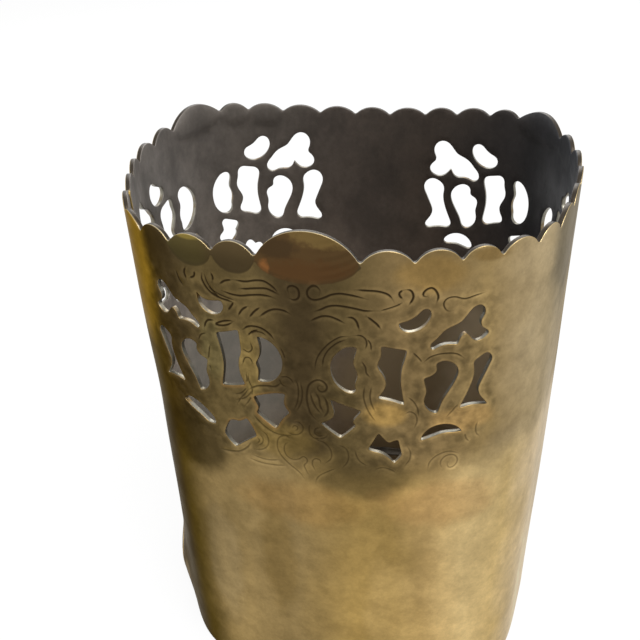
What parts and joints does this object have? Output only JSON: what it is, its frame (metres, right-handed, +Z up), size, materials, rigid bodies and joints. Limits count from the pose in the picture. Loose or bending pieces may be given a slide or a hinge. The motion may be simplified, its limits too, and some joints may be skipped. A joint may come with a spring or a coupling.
{
  "type": "cup holder",
  "caption": "Open sleeve of aged sheet brass with a scalloped rim and pierced, chased scroll panels, bent to a rounded square plan, with a soldered floor for a drinking glass to stand on",
  "frame": {"origin": "on the surface it stands on, under the middle of the sleeve's plan box, in the underside of the floor plate", "axes": "+Z up along the sleeve, -Y out of the front pierced panel, +X to the right of someone who faces that panel"},
  "size_m": [0.0748, 0.068, 0.0928],
  "materials": {
    "aged_brass": "satin, aged outside to olive and brown, darkened inside",
    "braze_metal": "filed flush, satin",
    "dark_brass": "oxidised, dull",
    "soft_solder": "dull grey, slightly lumpy"
  },
  "bodies": {
    "root": {"pierced_sleeve": "aged_brass", "seam_braze": "braze_metal", "floor_plate": "dark_brass", "floor_solder": "soft_solder"}
  },
  "joints": []
}
